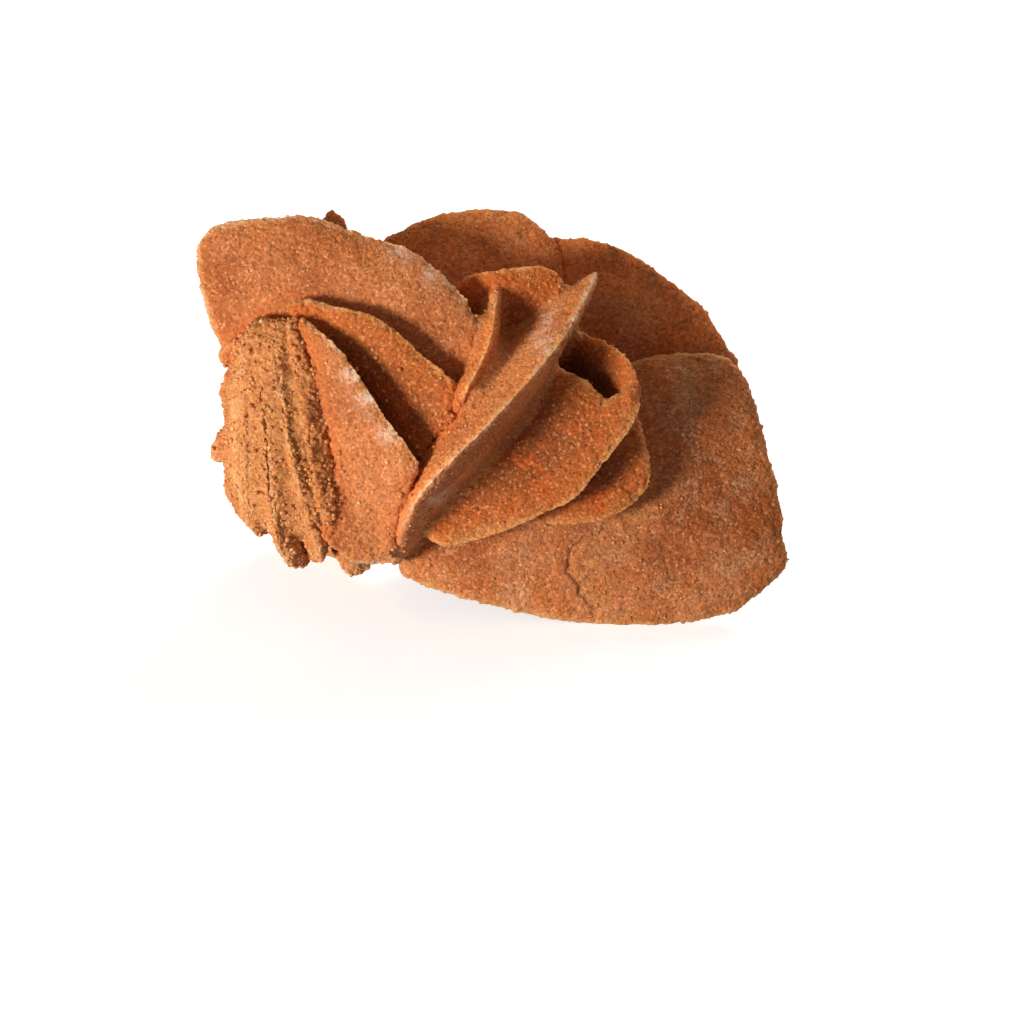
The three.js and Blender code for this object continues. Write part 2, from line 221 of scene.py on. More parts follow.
def rockPatterns(tree):
    # the patterns that the colour and the bump share: slow clouds, small patches and single grains
    place = addNode(tree, "ShaderNodeTexCoord").outputs["Object"]
    perMm = (1 / mm, 1 / mm, 1 / mm)
    place = addNode(tree, "ShaderNodeMapping", {"Vector": place, "Scale": perMm}).outputs[0]

    def noise(scale, detail, roughness):
        inputs = {"Vector": place, "Scale": scale, "Detail": detail, "Roughness": roughness}
        return addNode(tree, "ShaderNodeTexNoise", inputs)

    fine = noise(6.5, 3, 0.7)
    wobble = scaled(tree, fine.outputs["Color"], gypsum["jitter"])
    shifted = addNode(tree, "ShaderNodeVectorMath", {0: place, 1: wobble}, operation="ADD").outputs[0]
    perMm = gypsum["grainsPerMm"]
    grains = addNode(tree, "ShaderNodeTexVoronoi", {"Vector": shifted, "Scale": perMm})
    coarse = addNode(tree, "ShaderNodeTexVoronoi", {"Vector": shifted, "Scale": perMm / 2})
    return {
        "broad": noise(0.13, 5, 0.6).outputs["Fac"],
        "cloud": noise(0.28, 6, 0.7).outputs["Fac"],
        "patch": noise(0.6, 5, 0.65).outputs["Fac"],
        "fine": fine.outputs["Fac"],
        "tone": addNode(tree, "ShaderNodeSeparateColor", {"Color": grains.outputs["Color"]}).outputs[0],
        "odd": addNode(tree, "ShaderNodeSeparateColor", {"Color": coarse.outputs["Color"]}).outputs[1],
        "fromGrain": grains.outputs["Distance"],
        "fromCoarse": coarse.outputs["Distance"],
    }


def gypsumColour(tree, pattern, finish):
    margin, sandy = attributeOf(tree, "margin"), attributeOf(tree, "sandy")
    tone, cloud, patch = pattern["tone"], pattern["cloud"], pattern["patch"]

    def laid(share, body, colour):
        return mixColour(tree, share, body, gypsum[colour])

    # the blade's colour: rust to sand in slow clouds, darker in the middle (partly painted shade), amber
    # near the rim (partly painted glow through the thin edge)
    body = laid(ramp(tree, pattern["broad"], 0.36, 0.62), gypsum["rust"], "sand")
    body = laid(ramp(tree, patch, 0.50, 0.70, 0, 0.55), body, "tan")
    body = laid(ramp(tree, patch, 0.46, 0.30, 0, 0.5), body, "rust")
    body = laid(finish["amber"], body, "orange")
    dullAndShadedMiddle = times(tree, ramp(tree, margin, 0.75, 0.1), ramp(tree, cloud, 0.30, 0.62, 0.7, 1.0))
    body = laid(times(tree, dullAndShadedMiddle, finish["dusk"]), body, "brown")
    # amber and honey near the rim: partly the edge's own tone, partly painted glow of light through the
    # thin edge
    body = laid(times(tree, margin, 0.35 + 0.45 * finish["amber"]), body, "amber")
    body = laid(ramp(tree, margin, 0.66, 0.97, 0, 0.40), body, "honey")
    body = laid(times(tree, ramp(tree, cloud, 0.46, 0.34), finish["amber"], 0.8), body, "ember")
    body = laid(times(tree, sandy, 0.75 - 0.45 * finish["amber"]), body, "golden")
    body = mixColour(tree, 1.0, body, grey(tree, finish["light"]), "MULTIPLY")

    # grey dust lies in patches, as pale grains
    dusting = times(tree, ramp(tree, cloud, 0.47, 0.63), ramp(tree, tone, 0.35, 0.8, 0.25, 1))
    body = laid(times(tree, dusting, finish["ash"]), body, "ash")

    # single grains: most a little off in tone, a few dark, a few sugary
    speck = ramp(tree, tone, 0.0, 1.0, 1 - gypsum["speck"], 1 + gypsum["speck"])
    body = mixColour(tree, 1.0, body, grey(tree, speck), "MULTIPLY")
    body = laid(ramp(tree, tone, 0.12, 0.03, 0, 0.24), body, "dark")
    body = laid(ramp(tree, tone, 0.89, 0.98, 0, 0.32), body, "sugar")
    roundGrain = ramp(tree, pattern["fromCoarse"], 0.42, 0.25)
    body = laid(times(tree, ramp(tree, pattern["odd"], 0.92, 0.97, 0, 0.45), roundGrain), body, "sugar")

    # seams are red, partly painted glow of light in the gaps; sharp rims waxy, partly painted glow through
    # the thin edge; the deepest hollow painted dark as painted shade; some edges white with sugar
    seamRedAndGlow = times(tree, attributeOf(tree, "crevice"), ramp(tree, sandy, 0.2, 0.9, 0.7, 0.35))
    body = laid(seamRedAndGlow, body, "ember")
    rimWaxAndGlow = times(tree, attributeOf(tree, "rim"), ramp(tree, patch, 0.34, 0.55, 0.1, 0.5))
    body = laid(rimWaxAndGlow, body, "honey")
    body = laid(times(tree, attributeOf(tree, "paintedShade"), 0.85), body, "dark")
    crumbs = plus(tree, patch, times(tree, pattern["fine"], 0.5))
    frosting = times(tree, attributeOf(tree, "frost"), ramp(tree, crumbs, 0.60, 0.88, 0, 0.80))
    return laid(frosting, body, "white")


def gypsumMaterial(name, finish):
    material = bpy.data.materials.new(name)
    material.use_nodes = True
    tree = material.node_tree
    shader = tree.nodes["Principled BSDF"]
    pattern = rockPatterns(tree)
    tree.links.new(gypsumColour(tree, pattern, finish), shader.inputs["Base Color"])
    roughness = ramp(tree, pattern["tone"], 0.88, 0.97, gypsum["roughness"], gypsum["glint"])
    tree.links.new(roughness, shader.inputs["Roughness"])
    shader.inputs["Specular IOR Level"].default_value = gypsum["gloss"]
    shader.inputs["Subsurface Weight"].default_value = gypsum["depth"]
    shader.inputs["Subsurface Radius"].default_value = gypsum["glow"]
    shader.inputs["Subsurface Scale"].default_value = gypsum["reach"]
    height = plus(tree, times(tree, pattern["fromGrain"], -0.8), times(tree, pattern["fine"], 0.7))
    inputs = {"Height": height, "Strength": gypsum["bump"], "Distance": gypsum["bumpHeight"]}
    bump = addNode(tree, "ShaderNodeBump", inputs)
    tree.links.new(bump.outputs[0], shader.inputs["Normal"])
    return material


grainLook = {"roughness": 0.42, "gloss": 0.45, "depth": 0.3, "reach": 0.4 * mm, "glow": (1.0, 0.45, 0.2)}


def grainMaterial():
    material = bpy.data.materials.new("looseGrain")
    material.use_nodes = True
    tree = material.node_tree
    shader = tree.nodes["Principled BSDF"]
    tone = attributeOf(tree, "tone")
    colour = mixColour(tree, ramp(tree, tone, 0.0, 0.25), gypsum["rust"], gypsum["sand"])
    colour = mixColour(tree, ramp(tree, tone, 0.35, 0.85), colour, gypsum["golden"])
    colour = mixColour(tree, ramp(tree, tone, 0.90, 1.0, 0, 0.8), colour, gypsum["sugar"])
    tree.links.new(colour, shader.inputs["Base Color"])
    shader.inputs["Roughness"].default_value = grainLook["roughness"]
    shader.inputs["Specular IOR Level"].default_value = grainLook["gloss"]
    shader.inputs["Subsurface Weight"].default_value = grainLook["depth"]
    shader.inputs["Subsurface Radius"].default_value = grainLook["glow"]
    shader.inputs["Subsurface Scale"].default_value = grainLook["reach"]
    return material


finishOf = {name: gypsumMaterial(name, finish) for name, finish in finishes.items()}
looseGrain = grainMaterial()
print("materials ready")

surface = {
    "inflate": 0.12 * mm, "smoothing": 3, "relax": 16,
    "hone": 0.30 * mm, "honeReach": 1.3 * mm,  # how much thinner the faces are beside the rim
    "seamReach": 1.3 * mm, "hollowReach": 2.5 * mm, "marginReach": 3.0 * mm, "rimSpread": 4,
    # how far each kind of wear moves the skin, in mm
    "undulation": 0.30, "ripple": 0.20, "ragged": 0.40, "grain": 0.115, "clump": 0.60, "pebble": 0.11,
    "crumbs": 0.12, "fillet": 0.24,
}
treeInputs = ("undulation", "ripple", "ragged", "grain", "clump", "pebble", "crumbs", "fillet")

# finish: its colour. sand: how sandy it is, from 0 to about 3, and how thickly loose grains lie on it.
# frost: how sugary its rim is. mesh: the size of its finest facets in mm.
crystals = {
    "keel_blade": {"finish": "keelGypsum", "sand": 0.6, "frost": 0.5, "mesh": 0.16},
    "great_blade": {"finish": "broadGypsum", "sand": 0.25, "frost": 0.15, "mesh": 0.185},
    # the back blades take the dusty finish that is painted lighter against their shade
    "upper_back_blade": {"finish": "dustyPaintedLightGypsum", "sand": 0.3, "frost": 0.0, "mesh": 0.18},
    "back_blade": {"finish": "dustyPaintedLightGypsum", "sand": 0.2, "frost": 0.05, "mesh": 0.195},
    "left_wing_blade": {"finish": "sandyGypsum", "sand": 0.25, "frost": 0.45, "mesh": 0.165},
    "front_petal": {"finish": "amberGypsum", "sand": 0.25, "frost": 0.15, "mesh": 0.15},
    "hollow_petal": {"finish": "amberGypsum", "sand": 0.3, "frost": 0.1, "mesh": 0.15},
    "lower_petal": {"finish": "amberGypsum", "sand": 0.2, "frost": 0.15, "mesh": 0.15},
    "inner_spike": {"finish": "keelGypsum", "sand": 0.3, "frost": 0.2, "mesh": 0.15},
    "inner_upper_petal": {"finish": "amberGypsum", "sand": 0.3, "frost": 0.2, "mesh": 0.15},
    "fan_base_blade": {"finish": "goldenGypsum", "sand": 3.2, "frost": 0.2, "mesh": 0.2},
    "fan_blade_1": {"finish": "amberGypsum", "sand": 0.9, "frost": 0.2, "mesh": 0.15},
    "fan_blade_2": {"finish": "sandyGypsum", "sand": 0.7, "frost": 0.5, "mesh": 0.15},
    "fan_blade_3": {"finish": "goldenGypsum", "sand": 2.8, "frost": 0.2, "mesh": 0.16},
    "fan_blade_4": {"finish": "goldenGypsum", "sand": 2.6, "frost": 0.2, "mesh": 0.16},
    "fan_blade_5": {"finish": "goldenGypsum", "sand": 2.6, "frost": 0.2, "mesh": 0.16},
    "fan_blade_6": {"finish": "goldenGypsum", "sand": 2.8, "frost": 0.2, "mesh": 0.16},
    "fan_blade_7": {"finish": "goldenGypsum", "sand": 2.2, "frost": 0.2, "mesh": 0.16},
    "fan_blade_8": {"finish": "sandyGypsum", "sand": 1.4, "frost": 0.2, "mesh": 0.15},
    "fan_blade_9": {"finish": "goldenGypsum", "sand": 1.6, "frost": 0.2, "mesh": 0.15},
    "fan_blade_10": {"finish": "sandyGypsum", "sand": 1.0, "frost": 0.2, "mesh": 0.15},
    "fan_tip_blade": {"finish": "sandyGypsum", "sand": 1.0, "frost": 0.2, "mesh": 0.15},
    "rear_keel_blade": {"finish": "broadGypsum", "sand": 0.4, "frost": 0.2, "mesh": 0.22},
    "rear_left_blade": {"finish": "broadGypsum", "sand": 0.5, "frost": 0.2, "mesh": 0.22},
    "rear_cross_blade": {"finish": "broadGypsum", "sand": 0.4, "frost": 0.2, "mesh": 0.22},
    "rear_upper_blade": {"finish": "dustyPaintedLightGypsum", "sand": 0.4, "frost": 0.2, "mesh": 0.22},
    # the rear tips take the painted-shade finish
    "rear_tip_blade": {"finish": "paintedShadeGypsum", "sand": 0.6, "frost": 0.0, "mesh": 0.18},
    "rear_small_tip_blade": {"finish": "paintedShadeGypsum", "sand": 0.6, "frost": 0.0, "mesh": 0.18},
    "rear_left_upper_blade": {"finish": "broadGypsum", "sand": 0.4, "frost": 0.2, "mesh": 0.22},
}
# Marks on single blades. A spot's place is given across and up the blade's own box, from 0 to 1.
sugarSpots = {  # across, up, radius in mm
    "keel_blade": [(0.72, 0.89, 1.3), (0.24, 0.32, 1.1)],
    "fan_blade_2": [(0.47, 0.84, 1.3), (0.62, 0.74, 1.5), (0.76, 0.64, 1.3)],
    "left_wing_blade": [(0.73, 0.92, 1.4), (0.85, 0.82, 1.5), (0.96, 0.71, 1.3)],
}
# painted shade: dark spots painted where shade falls, in the hollow of hollow_petal and at the top of
# great_blade
paintedShadeSpots = {  # across, up, radius in mm
    "hollow_petal": [(0.46, 0.70, 2.0), (0.62, 0.62, 1.6)],
    "great_blade": [(0.50, 0.96, 2.0)],
}
lumps = {  # across, up, radius in mm, height in mm
    "great_blade": [(0.68, 0.95, 1.3, 0.4), (0.70, 0.89, 1.2, 0.45), (0.725, 0.83, 1.0, 0.4)],
}
scarps = {  # the edge where a thin layer has flaked off; its depth, fading and sharpness are in mm
    "great_blade": {
        "edge": [
            (0.52, 0.40), (0.498, 0.373), (0.458, 0.341), (0.435, 0.305), (0.432, 0.259), (0.445, 0.209),
            (0.457, 0.174),
        ],
        "depth": 0.34, "fade": 4.5, "sharpness": 0.12,
    },
}
unevenness = ((0.2 * mm, 2600), (0.1 * mm, 6100))  # how far lumps and scarps stray, and how fast


def namedAttribute(tree, name):
    node = addNode(tree, "GeometryNodeInputNamedAttribute", {"Name": name}, data_type="FLOAT")
    return node.outputs["Attribute"]


def relaxedPosition(tree, position, rim, rounds):
    # the mean of the positions around each vertex; the rims hold their place
    loose = addNode(tree, "ShaderNodeMath", {0: 1.0, 1: rim}, operation="SUBTRACT")
    loose.use_clamp = True
    blur = addNode(tree, "GeometryNodeBlurAttribute", data_type="FLOAT_VECTOR")
    given = {"Value": position, "Iterations": rounds, "Weight": loose.outputs[0]}
    for socket in [socket for socket in blur.inputs if socket.enabled]:
        tree.links.new(given[socket.name], socket)
    return [socket for socket in blur.outputs if socket.enabled][0]


def surfaceTree():
    # relaxes a crystal's facets, then pushes its skin in and out: slow waves, ragged rims, grains
    tree = bpy.data.node_groups.new("wornSurface", "GeometryNodeTree")
    tree.interface.new_socket("Geometry", in_out="INPUT", socket_type="NodeSocketGeometry")
    tree.interface.new_socket("relax", in_out="INPUT", socket_type="NodeSocketInt")
    for name in treeInputs:
        tree.interface.new_socket(name, in_out="INPUT", socket_type="NodeSocketFloat")
    tree.interface.new_socket("Geometry", in_out="OUTPUT", socket_type="NodeSocketGeometry")
    given = addNode(tree, "NodeGroupInput").outputs
    position = addNode(tree, "GeometryNodeInputPosition").outputs[0]
    place = scaled(tree, position, 1 / mm)

    def noise(scale, detail, seed):
        # between about -0.5 and 0.5
        inputs = {"Vector": place, "W": seed, "Scale": scale, "Detail": detail}
        node = addNode(tree, "ShaderNodeTexNoise", inputs, noise_dimensions="4D")
        return minus(tree, node.outputs[0], 0.5)

    def domes(scale):
        # a rounded bump on every cell: 0.6 at its middle, below 0 in the joints
        cells = addNode(tree, "ShaderNodeTexVoronoi", {"Vector": place, "Scale": scale})
        distance = cells.outputs["Distance"]
        return minus(tree, 0.6, times(tree, distance, distance, 2.2))

    rim, crevice = namedAttribute(tree, "rim"), namedAttribute(tree, "crevice")
    sandy, dent = namedAttribute(tree, "sandy"), namedAttribute(tree, "dent")
    relaxed = relaxedPosition(tree, position, rim, given["relax"])
    smooth = addNode(tree, "GeometryNodeSetPosition", {"Geometry": given["Geometry"], "Position": relaxed})
    shift = plus(
        tree,
        times(tree, noise(0.16, 2, 0), given["undulation"], 2),
        times(tree, noise(0.75, 3, 4), given["ripple"], 2),
        times(tree, noise(0.95, 4, 9), rim, given["ragged"], 2.4),
        times(tree, noise(0.42, 3, 6), sandy, given["clump"], 2),
        times(tree, domes(2.9), given["grain"], plus(tree, 0.7, sandy)),
        times(tree, domes(1.45), given["pebble"], sandy),
        times(tree, domes(1.6), given["crumbs"], crevice),
        times(tree, crevice, crevice, given["fillet"]),
        times(tree, dent, -1),
    )
    normal = addNode(tree, "GeometryNodeInputNormal").outputs[0]
    offset = scaled(tree, normal, times(tree, shift, mm))
    moved = addNode(tree, "GeometryNodeSetPosition", {"Geometry": smooth.outputs[0], "Offset": offset})
    addNode(tree, "NodeGroupOutput", {"Geometry": moved.outputs[0]})
    return tree


def inputNames(tree):
    # the identifier of each named input, by which a modifier sets it
    sockets = [item for item in tree.interface.items_tree if item.item_type == "SOCKET"]
    return {socket.name: socket.identifier for socket in sockets if socket.in_out == "INPUT"}


def evaluated(thing):
    # the object's mesh with its modifiers worked in
    graph = bpy.context.evaluated_depsgraph_get()
    source = thing.evaluated_get(graph)
    return bpy.data.meshes.new_from_object(source, preserve_all_data_layers=True, depsgraph=graph)


def linked(name, mesh):
    thing = bpy.data.objects.new(name, mesh)
    bpy.context.collection.objects.link(thing)
    return thing


def finished(name, mesh, material):
    mesh.name = name
    mesh.materials.clear()
    mesh.materials.append(material)
    return linked(name, mesh)


def addRemesh(thing, swelling, voxel, rounds):
    # swells the object, meshes it evenly and smooths it
    swell = thing.modifiers.new("swell", "DISPLACE")
    swell.strength = swelling
    swell.mid_level = 0
    remesh = thing.modifiers.new("remesh", "REMESH")
    remesh.mode = "VOXEL"
    remesh.voxel_size = voxel
    smooth = thing.modifiers.new("smooth", "SMOOTH")
    smooth.factor = 0.5
    smooth.iterations = rounds


def verticesOf(mesh, field="co"):
    values = np.empty(len(mesh.vertices) * 3)
    mesh.vertices.foreach_get(field, values)
    return values.reshape(-1, 3)


def setAttribute(mesh, name, values):
    # a mark on the mesh: one number for each vertex
    layer = mesh.attributes.new(name, "FLOAT", "POINT")
    layer.data.foreach_set("value", np.ascontiguousarray(values, dtype=np.float32))


def softened(mesh, values, rounds):
    # spreads a value over the mesh, towards the mean of each vertex's neighbours
    edges = np.empty(len(mesh.edges) * 2, dtype=np.int64)
    mesh.edges.foreach_get("vertices", edges)
    a, b = edges.reshape(-1, 2).T
    count = np.bincount(edges, minlength=len(values)).clip(1)
    for _ in range(rounds):
        total = np.bincount(a, values[b], len(values)) + np.bincount(b, values[a], len(values))
        values = 0.4 * values + 0.6 * total / count
    return values


def smoothstep(values, low, high):
    t = ((values - low) / (high - low)).clip(0, 1)
    return t * t * (3 - 2 * t)


def mergedCopy(node):
    # the plain crystal with its doubled vertices merged
    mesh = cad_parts[node].data.copy()
    mesh.materials.clear()
    work = bmesh.new()
    work.from_mesh(mesh)
    bmesh.ops.remove_doubles(work, verts=work.verts, dist=1e-7)
    work.to_mesh(mesh)
    work.free()
    return mesh


plainMeshes = {node: mergedCopy(node) for node in crystals}


def neighbourTree(node):
    # every other crystal's faces, to find how near the next crystal is
    points, faces = [], []
    for other, mesh in plainMeshes.items():
        if other == node:
            continue
        start = len(points)
        points.extend(v.co.copy() for v in mesh.vertices)
        faces.extend([start + i for i in p.vertices] for p in mesh.polygons)
    return BVHTree.FromPolygons(points, faces)


def roundedLens(node):
    # the crystal a little swollen, finely meshed, with its sharpest edges taken off
    thing = linked("work", plainMeshes[node].copy())
    addRemesh(thing, surface["inflate"], crystals[node]["mesh"] * mm, surface["smoothing"])
    mesh = evaluated(thing)
    bpy.data.objects.remove(thing)
    return mesh


def onBlade(node, across, up):
    # a spot's x and z from its place across and up the blade's box
    low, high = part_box(node)
    return np.array([low[0] + across * (high[0] - low[0]), low[2] + up * (high[2] - low[2])])


def spotsOf(node, points, spots):
    # 1 in the middle of each of the blade's spots, fading to 0 around it
    result = np.zeros(len(points))
    for across, up, radius in spots.get(node, []):
        away = np.linalg.norm(points[:, [0, 2]] - onBlade(node, across, up), axis=1)
        result = np.maximum(result, np.exp(-((away / (radius * mm)) ** 2)))
    return result


def scarpStep(node, flat):
    # how deep the layer below a scarp lies, in mm: deepest at its edge, on the edge's left side
    scarp = scarps[node]
    edge = [onBlade(node, *spot) for spot in scarp["edge"]]
    nearest, side = np.full(len(flat), np.inf), np.zeros(len(flat))
    for a, b in zip(edge, edge[1:]):
        along = b - a
        t = (((flat - a) @ along) / (along @ along)).clip(0, 1)
        offset = flat - (a + t[:, None] * along)
        away = np.linalg.norm(offset, axis=1)
        turned = along[0] * offset[:, 1] - along[1] * offset[:, 0]
        closer = away < nearest
        nearest[closer] = away[closer]
        side[closer] = turned[closer]
    step = np.exp(-nearest / (scarp["fade"] * mm)) * smoothstep(nearest, 0, scarp["sharpness"] * mm)
    return np.where(side > 0, scarp["depth"] * step, 0)


def uneven(flat):
    # the places shifted a little to and fro, so that lumps and scarps aren't smooth curves
    shifted = flat
    for size, waves in unevenness:
        shifted = shifted + size * np.sin(flat[:, ::-1] * waves)
    return shifted


def dentOf(node, points, normals):
    # how deep the skin is sunk on the blade's front, in mm
    dent = np.zeros(len(points))
    flat = uneven(points[:, [0, 2]])
    for across, up, radius, height in lumps.get(node, []):
        away = np.linalg.norm(flat - onBlade(node, across, up), axis=1)
        dent -= height * np.exp(-((away / (radius * mm)) ** 2))
    if node in scarps:
        dent += scarpStep(node, flat)
    return dent * (normals[:, 1] < 0)


def markCrystal(node, mesh):
    # where the rims, seams, sandy hollows, sugary edges, flaws and painted-shade spots of the crystal are
    points, normals = verticesOf(mesh), verticesOf(mesh, "normal")
    _, axes = np.linalg.eigh(np.cov(verticesOf(plainMeshes[node]).T))
    turned = normals @ axes[:, 0]  # 1 or -1 on the faces, 0 on the rim
    facing = np.abs(turned)
    rim = softened(mesh, 1 - smoothstep(facing, 0.45, 0.85), surface["rimSpread"])
    near = neighbourTree(node)
    gaps = np.array([near.find_nearest(Vector(p))[3] for p in points])
    crevice = np.exp(-((gaps / surface["seamReach"]) ** 2))
    rim = (rim * (1 - crevice)).clip(0, 1)
    sand = crystals[node]["sand"]
    outline = points[rim > 0.7]
    outline = outline[:: max(1, len(outline) // 500)]  # some 500 of its points are enough
    margin = np.zeros(len(points))
    if len(outline):
        away = np.min([np.linalg.norm(points - spot, axis=1) for spot in outline], axis=0)
        margin = np.exp(-away / surface["marginReach"])
        # the faces beside the rim are honed down to a thin edge
        share = np.exp(-((away / surface["honeReach"]) ** 2)) * (1 - crevice) * (1 - sand / 4)
        honed = share * np.sign(turned) * np.sqrt(facing) * surface["hone"]
        mesh.vertices.foreach_set("co", (points - honed[:, None] * axes[:, 0]).ravel())
    hollow = np.exp(-gaps / surface["hollowReach"])
    sandy = sand / 3 * (0.5 + 0.5 * hollow) + 0.35 * crevice
    setAttribute(mesh, "rim", rim)
    setAttribute(mesh, "margin", margin)
    setAttribute(mesh, "crevice", crevice)
    setAttribute(mesh, "sandy", sandy.clip(0, 1))
    frost = np.maximum(rim * crystals[node]["frost"] * 1.4, spotsOf(node, points, sugarSpots))
    setAttribute(mesh, "frost", frost.clip(0, 1))
    # painted shade: the dark spots where shade falls, kept off the rims
    setAttribute(mesh, "paintedShade", spotsOf(node, points, paintedShadeSpots) * (1 - rim))
    setAttribute(mesh, "dent", dentOf(node, points, normals))


def keptAboveFloor(mesh):
    # the feet stay worn flat, and no grain goes under the floor
    points = verticesOf(mesh)
    points[:, 2] = points[:, 2].clip(0, None)
    mesh.vertices.foreach_set("co", points.ravel())
    mesh.shade_smooth()


def wornSkin(mesh, tree, relax):
    # the marked mesh after the worn surface has been laid on it
    thing = linked("work", mesh)
    worn = thing.modifiers.new("worn", "NODES")
    worn.node_group = tree
    names = inputNames(tree)
    worn[names["relax"]] = relax
    for name in treeInputs:
        worn[names[name]] = surface[name]
    result = evaluated(thing)
    bpy.data.objects.remove(thing)
    keptAboveFloor(result)
    return result


def makeCrystals(tree):
    made = {}
    for node, choice in crystals.items():
        mesh = roundedLens(node)
        markCrystal(node, mesh)
        mesh = wornSkin(mesh, tree, surface["relax"])
        made[node] = finished(node + "_worn", mesh, finishOf[choice["finish"]])
        print(node, "has", len(mesh.polygons), "faces")
    return made


# Sand has set in the seams and in the valleys of the fan. It is the crystals of one group swollen by
# reach until they meet, then shrunk back by a little more, so it only shows where they were apart.
# on: what the names of its crystals start with. reach, under and mesh are in mm.
setSand = {
    "setSandFan": {
        "on": "fan_", "finish": "goldenGypsum", "sandy": 1.0,
        "reach": 1.7, "under": 0.04, "mesh": 0.25, "smoothing": 6, "relax": 14,
    },
    "setSandFront": {
        "on": "", "finish": "sandyGypsum", "sandy": 0.5,
        "reach": 0.55, "under": 0.08, "mesh": 0.36, "smoothing": 5, "relax": 4,
    },
    "setSandRear": {
        "on": "rear_", "finish": "sandyGypsum", "sandy": 0.5,
        "reach": 0.7, "under": 0.16, "mesh": 0.36, "smoothing": 6, "relax": 4,
    },
}
bareBlades = ("fan_blade_1", "fan_blade_2")  # their rims stand clear of the set sand
# The fan's set sand: how far its left and lower ends are drawn in, over what length, and how much
# thicker it lies over the left blades. Lengths in mm, measured from the fan's lowest corner.
fanSand = {
    "inward": 1.5, "inwardOver": (-0.5, 5.0), "upward": 2.2, "upwardOver": (-0.5, 8.0),
    "thicker": 0.45, "thickFrom": (3.0, 4.5), "thickTo": (7.0, 9.0), "thickAbove": (5.0, 9.0),
}


def nodesOn(start):
    # the crystals of a group: those whose names start so, or the front ones for an empty start
    if start:
        return [node for node in crystals if node.startswith(start)]
    return [node for node in crystals if not node.startswith(("fan_", "rear_"))]


def joined(meshes):
    # several meshes as one, without their marks
    points, faces, start = [], [], 0
    for mesh in meshes:
        points.append(verticesOf(mesh))
        faces.extend([start + i for i in p.vertices] for p in mesh.polygons)
        start += len(mesh.vertices)
    result = bpy.data.meshes.new("joined")
    result.from_pydata(np.concatenate(points), [], faces)
    return result


def fromFanCorner(points, axis, span):
    # goes from 0 to 1 over a span in mm, measured from the fan's lowest corner
    low = np.min([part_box(node)[0] for node in nodesOn("fan_")], axis=0)
    return smoothstep(points[:, axis], low[axis] + span[0] * mm, low[axis] + span[1] * mm)


def openTips(points):
    # draws the fan's set sand in at its left and lower ends, so that the blades' tips stand apart
    points[:, 0] += fanSand["inward"] * mm * (1 - fromFanCorner(points, 0, fanSand["inwardOver"]))
    points[:, 2] += fanSand["upward"] * mm * (1 - fromFanCorner(points, 2, fanSand["upwardOver"]))
    return points


def leftThickening(points):
    # how much thicker the fan's set sand lies over its left blades, in mm
    across = fromFanCorner(points, 0, fanSand["thickFrom"])
    across *= 1 - fromFanCorner(points, 0, fanSand["thickTo"])
    return fanSand["thicker"] * across * fromFanCorner(points, 2, fanSand["thickAbove"])


def makeSetSand(name, choice, tree):
    nodes = [node for node in nodesOn(choice["on"]) if node not in bareBlades]
    thing = linked("work", joined([plainMeshes[node] for node in nodes]))
    addRemesh(thing, choice["reach"] * mm, choice["mesh"] * mm, choice["smoothing"])
    shrink = thing.modifiers.new("shrink", "DISPLACE")
    shrink.strength = -(choice["reach"] + choice["under"]) * mm
    shrink.mid_level = 0
    mesh = evaluated(thing)
    bpy.data.objects.remove(thing)
    count = len(mesh.vertices)
    points = verticesOf(mesh)
    dent = np.zeros(count)
    if choice["on"] == "fan_":
        dent = -leftThickening(points)
        mesh.vertices.foreach_set("co", openTips(points).ravel())
    setAttribute(mesh, "dent", dent)
    for mark, value in (("rim", 0), ("margin", 0), ("crevice", 0.25), ("frost", 0), ("paintedShade", 0)):
        setAttribute(mesh, mark, np.full(count, value))
    setAttribute(mesh, "sandy", np.full(count, choice["sandy"]))
    mesh = wornSkin(mesh, tree, choice["relax"])
    print(name, "has", len(mesh.polygons), "faces")
    return finished(name, mesh, finishOf[choice["finish"]])


wornTree = surfaceTree()
pieces = makeCrystals(wornTree)
setSands = {name: makeSetSand(name, choice, wornTree) for name, choice in setSand.items()}
total = sum(len(thing.data.polygons) for thing in pieces.values())
print("crystals made:", len(pieces), "with", total, "faces")

# on: what the names of the strewn crystals start with. set: the set sand that is strewn too.
# density: a share of what the crystals ask for. size: a grain's radius in mm.
looseSand = {
    "looseSandFan": {"on": "fan_", "set": "setSandFan", "density": 0.42, "size": 0.21, "seed": 3},
    "looseSandFront": {"on": "", "set": "setSandFront", "density": 0.32, "size": 0.16, "seed": 5},
    "looseSandRear": {"on": "rear_", "set": "setSandRear", "density": 0.3, "size": 0.16, "seed": 8},
}
# how thickly set sand and seams are strewn, and what share of it is left on a bare face
strewing = {"setSand": 2.6, "seam": 1.3, "bare": 0.3}
# a grain's least and most width, depth and height, and how its size varies
grainShape = {"least": (0.7, 0.7, 0.6), "most": (1.25, 1.15, 1.0), "sizes": (0.55, 1.3), "power": 1.8}
grainFaces = 20  # of the icosahedron that each grain starts from


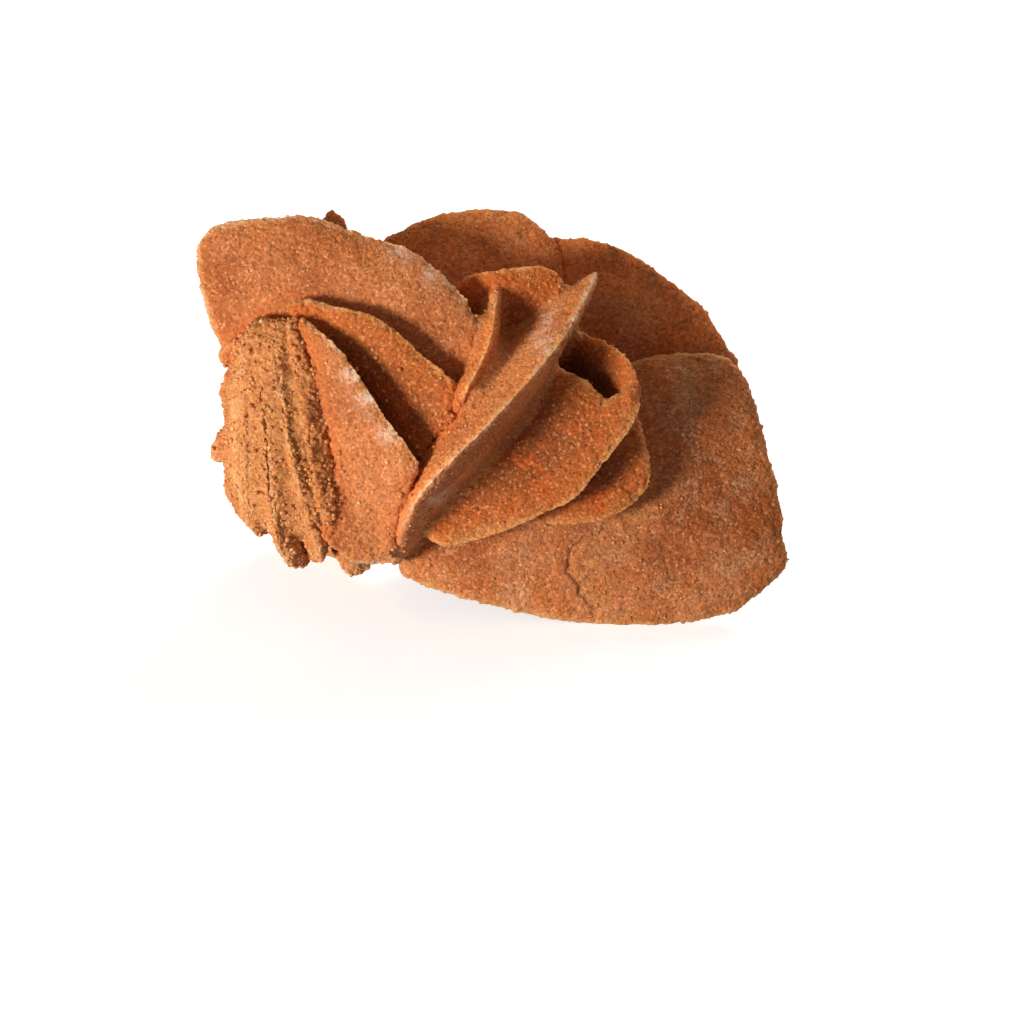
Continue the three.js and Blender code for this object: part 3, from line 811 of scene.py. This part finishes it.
def sandTree():
    # grains of sand on the faces of a mesh: as many per square millimetre as its "strewn" attribute says
    tree = bpy.data.node_groups.new("sandGrains", "GeometryNodeTree")
    tree.interface.new_socket("Geometry", in_out="INPUT", socket_type="NodeSocketGeometry")
    for name, kind in (("density", "Float"), ("size", "Float"), ("seed", "Int")):
        tree.interface.new_socket(name, in_out="INPUT", socket_type="NodeSocket" + kind)
    tree.interface.new_socket("Geometry", in_out="OUTPUT", socket_type="NodeSocketGeometry")
    given = addNode(tree, "NodeGroupInput").outputs
    density = times(tree, namedAttribute(tree, "strewn"), given["density"], 1 / (mm * mm))
    inputs = {"Mesh": given["Geometry"], "Density": density, "Seed": given["seed"]}
    spread = addNode(tree, "GeometryNodeDistributePointsOnFaces", inputs, distribute_method="RANDOM")
    grain = addNode(tree, "GeometryNodeMeshIcoSphere", {"Radius": mm, "Subdivisions": 1})

    def randomVector(low, high, seed):
        inputs = {0: low, 1: high, "Seed": seed}
        return addNode(tree, "FunctionNodeRandomValue", inputs, data_type="FLOAT_VECTOR").outputs[0]

    def randomNumber(low, high, seed):
        inputs = {2: low, 3: high, "Seed": seed}
        return addNode(tree, "FunctionNodeRandomValue", inputs, data_type="FLOAT").outputs[1]

    turn = randomVector((0, 0, 0), (math.tau, math.tau, math.tau), 21)
    shape = randomVector(grainShape["least"], grainShape["most"], 22)
    variety = fold(tree, "POWER", (randomNumber(*grainShape["sizes"], 23), grainShape["power"]))
    placed = addNode(tree, "GeometryNodeInstanceOnPoints", {
        "Points": spread.outputs["Points"], "Instance": grain.outputs["Mesh"], "Rotation": turn,
        "Scale": scaled(tree, shape, times(tree, variety, given["size"])),
    })
    toned = addNode(
        tree, "GeometryNodeStoreNamedAttribute", {"Geometry": placed.outputs[0], "Name": "tone"},
        data_type="FLOAT", domain="INSTANCE")
    tree.links.new(randomNumber(0, 1, 24), toned.inputs["Value"])
    real = addNode(tree, "GeometryNodeRealizeInstances", {"Geometry": toned.outputs[0]})
    finish = addNode(tree, "GeometryNodeSetMaterial", {"Geometry": real.outputs[0], "Material": looseGrain})
    addNode(tree, "NodeGroupOutput", {"Geometry": finish.outputs[0]})
    return tree


def valuesOf(mesh, name):
    values = np.empty(len(mesh.vertices), dtype=np.float32)
    mesh.attributes[name].data.foreach_get("value", values)
    return values


def groundOf(nodes, sand):
    # the crystals of one group and their set sand as one mesh, with how thickly each spot is strewn
    grounds = [(pieces[node].data, crystals[node]["sand"]) for node in nodes]
    grounds.append((sand.data, strewing["setSand"]))
    points, faces, strewn = [], [], []
    start = 0
    bare = strewing["bare"]
    for mesh, thickly in grounds:
        points.append(verticesOf(mesh))
        corners = np.empty(len(mesh.loops), dtype=np.int32)
        mesh.loops.foreach_get("vertex_index", corners)
        faces.append(corners.reshape(-1, 4) + start)  # every face has four corners
        start += len(mesh.vertices)
        share = bare + (1 - bare) * valuesOf(mesh, "sandy")
        strewn.append(thickly * share + strewing["seam"] * valuesOf(mesh, "crevice"))
    ground = bpy.data.meshes.new("ground")
    ground.from_pydata(np.concatenate(points), [], np.concatenate(faces))
    setAttribute(ground, "strewn", np.concatenate(strewn))
    return ground


def makeSand(name, choice, tree):
    thing = linked("work", groundOf(nodesOn(choice["on"]), setSands[choice["set"]]))
    strew = thing.modifiers.new("strew", "NODES")
    strew.node_group = tree
    names = inputNames(tree)
    for key in ("density", "size", "seed"):
        strew[names[key]] = choice[key]
    mesh = evaluated(thing)
    bpy.data.objects.remove(thing)
    keptAboveFloor(mesh)
    mesh.name = name
    print(name, "has", len(mesh.polygons) // grainFaces, "grains")
    return linked(name, mesh)


grainTree = sandTree()
sands = [makeSand(name, choice, grainTree) for name, choice in looseSand.items()]

for node, thing in pieces.items():
    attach(thing, "root")
    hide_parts(node)
for thing in sands + list(setSands.values()):
    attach(thing, "root")
print("pieces ride on the root body")
